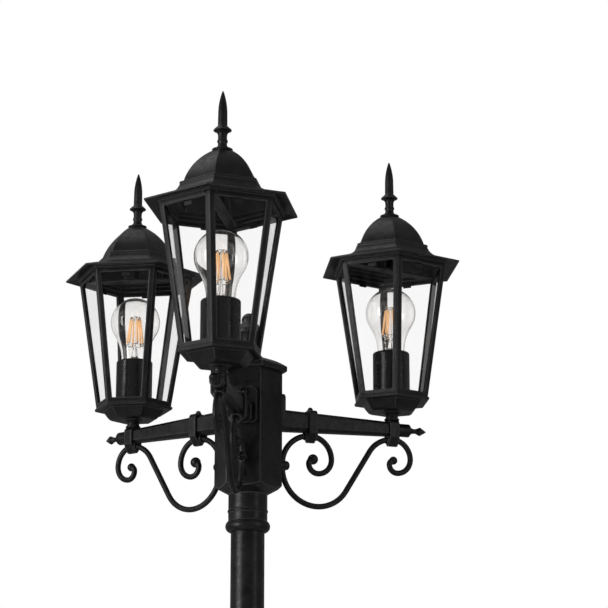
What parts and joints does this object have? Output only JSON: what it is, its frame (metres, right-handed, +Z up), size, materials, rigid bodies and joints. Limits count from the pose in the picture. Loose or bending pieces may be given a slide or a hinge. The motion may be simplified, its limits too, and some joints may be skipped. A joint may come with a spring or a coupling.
{
  "type": "triple head lamp post",
  "caption": "Tall black garden lamp post: fluted base, round jointed pole, hexagonal hub, and hexagonal glazed lanterns on scroll-braced arms.",
  "frame": {"origin": "centre of the ground face, on the pole's axis and on the centre of the circle of anchor holes", "axes": "+Z up along the pole; -Y along the front arm; +X to the right of someone who faces the front lantern"},
  "size_m": [0.477, 0.4371, 2.4114],
  "materials": {
    "black_casting": "satin black powder coat on cast aluminium",
    "black_screw": "blackened steel",
    "black_steel": "satin black",
    "zinc_steel": "zinc plated",
    "terminal_nylon": "moulded nylon",
    "lead_rubber": "matt black sheath",
    "clear_glass": "clear float glass",
    "washer_rubber": "matt",
    "holder_moulding": "satin moulded phenolic",
    "bulb_glass": "clear blown glass",
    "bulb_cap_metal": "nickel plated",
    "filament_glass": "phosphor coated strips on a glass stem"
  },
  "bodies": {
    "root": {"base_casting": "black_casting", "base_capital": "black_casting", "lower_column": "black_casting", "lower_coupling": "black_casting", "middle_tube": "black_casting", "upper_coupling": "black_casting", "upper_tube": "black_casting", "hub_casting": "black_casting", "hub_cap": "black_casting", "hub_finial": "black_casting", "pole_set_screws": "black_screw", "arm_screws": "black_screw", "lantern_nipples": "zinc_steel", "terminal_block": "terminal_nylon", "lamp_leads": "lead_rubber", "arm_front": "black_casting", "scroll_front": "black_casting", "scroll_clamps_front": "black_casting", "lantern_floor_front": "black_casting", "lantern_cage_front": "black_casting", "glass_panes_front": "clear_glass", "pane_clips_front": "black_steel", "crossbar_front": "black_steel", "lampholder_front": "holder_moulding", "arm_right": "black_casting", "scroll_right": "black_casting", "scroll_clamps_right": "black_casting", "lantern_floor_right": "black_casting", "lantern_cage_right": "black_casting", "glass_panes_right": "clear_glass", "pane_clips_right": "black_steel", "crossbar_right": "black_steel", "lampholder_right": "holder_moulding", "arm_left": "black_casting", "scroll_left": "black_casting", "scroll_clamps_left": "black_casting", "lantern_floor_left": "black_casting", "lantern_cage_left": "black_casting", "glass_panes_left": "clear_glass", "pane_clips_left": "black_steel", "crossbar_left": "black_steel", "lampholder_left": "holder_moulding"},
    "roof_front": {"lantern_roof_front": "black_casting"},
    "finial_thread_front": {"finial_washer_front": "washer_rubber"},
    "finial_front": {"finial_front": "black_casting"},
    "bulb_thread_front": {"bulb_glass_front": "bulb_glass"},
    "bulb_front": {"bulb_cap_front": "bulb_cap_metal", "bulb_filament_front": "filament_glass"},
    "roof_right": {"lantern_roof_right": "black_casting"},
    "finial_thread_right": {"finial_washer_right": "washer_rubber"},
    "finial_right": {"finial_right": "black_casting"},
    "bulb_thread_right": {"bulb_glass_right": "bulb_glass"},
    "bulb_right": {"bulb_cap_right": "bulb_cap_metal", "bulb_filament_right": "filament_glass"},
    "roof_left": {"lantern_roof_left": "black_casting"},
    "finial_thread_left": {"finial_washer_left": "washer_rubber"},
    "finial_left": {"finial_left": "black_casting"},
    "bulb_thread_left": {"bulb_glass_left": "bulb_glass"},
    "bulb_left": {"bulb_cap_left": "bulb_cap_metal", "bulb_filament_left": "filament_glass"}
  },
  "joints": [
    {"name": "roof_lift_front", "type": "slide", "parent": "root", "child": "roof_front", "axis": [0, 0, 1], "range_m": [0, 0.1]},
    {"name": "finial_rise_front", "type": "slide", "parent": "roof_front", "child": "finial_thread_front", "axis": [0, 0, 1], "range_m": [0, 0.00799]},
    {"name": "finial_turn_front", "type": "hinge", "parent": "finial_thread_front", "child": "finial_front", "pos_m": [0, -0.177, 2.1057], "axis": [0, 0, 1], "range_deg": [0, 2880]},
    {"name": "bulb_rise_front", "type": "slide", "parent": "root", "child": "bulb_thread_front", "axis": [0, 0, 1], "range_m": [0, 0.0145]},
    {"name": "bulb_turn_front", "type": "hinge", "parent": "bulb_thread_front", "child": "bulb_front", "pos_m": [0, -0.177, 2.1057], "axis": [0, 0, 1], "range_deg": [0, 1440]},
    {"name": "roof_lift_right", "type": "slide", "parent": "root", "child": "roof_right", "axis": [0, 0, 1], "range_m": [0, 0.1]},
    {"name": "finial_rise_right", "type": "slide", "parent": "roof_right", "child": "finial_thread_right", "axis": [0, 0, 1], "range_m": [0, 0.00799]},
    {"name": "finial_turn_right", "type": "hinge", "parent": "finial_thread_right", "child": "finial_right", "pos_m": [0.15329, 0.0885, 2.1057], "axis": [0, 0, 1], "range_deg": [0, 2880]},
    {"name": "bulb_rise_right", "type": "slide", "parent": "root", "child": "bulb_thread_right", "axis": [0, 0, 1], "range_m": [0, 0.0145]},
    {"name": "bulb_turn_right", "type": "hinge", "parent": "bulb_thread_right", "child": "bulb_right", "pos_m": [0.15329, 0.0885, 2.1057], "axis": [0, 0, 1], "range_deg": [0, 1440]},
    {"name": "roof_lift_left", "type": "slide", "parent": "root", "child": "roof_left", "axis": [0, 0, 1], "range_m": [0, 0.1]},
    {"name": "finial_rise_left", "type": "slide", "parent": "roof_left", "child": "finial_thread_left", "axis": [0, 0, 1], "range_m": [0, 0.00799]},
    {"name": "finial_turn_left", "type": "hinge", "parent": "finial_thread_left", "child": "finial_left", "pos_m": [-0.15329, 0.0885, 2.1057], "axis": [0, 0, 1], "range_deg": [0, 2880]},
    {"name": "bulb_rise_left", "type": "slide", "parent": "root", "child": "bulb_thread_left", "axis": [0, 0, 1], "range_m": [0, 0.0145]},
    {"name": "bulb_turn_left", "type": "hinge", "parent": "bulb_thread_left", "child": "bulb_left", "pos_m": [-0.15329, 0.0885, 2.1057], "axis": [0, 0, 1], "range_deg": [0, 1440]}
  ],
  "couplings": [
    {"joint": "finial_turn_front", "follows": "finial_rise_front", "rad_per_m": 6283.2},
    {"joint": "bulb_turn_front", "follows": "bulb_rise_front", "rad_per_m": 1731.6},
    {"joint": "finial_turn_right", "follows": "finial_rise_right", "rad_per_m": 6283.2},
    {"joint": "bulb_turn_right", "follows": "bulb_rise_right", "rad_per_m": 1731.6},
    {"joint": "finial_turn_left", "follows": "finial_rise_left", "rad_per_m": 6283.2},
    {"joint": "bulb_turn_left", "follows": "bulb_rise_left", "rad_per_m": 1731.6}
  ]
}
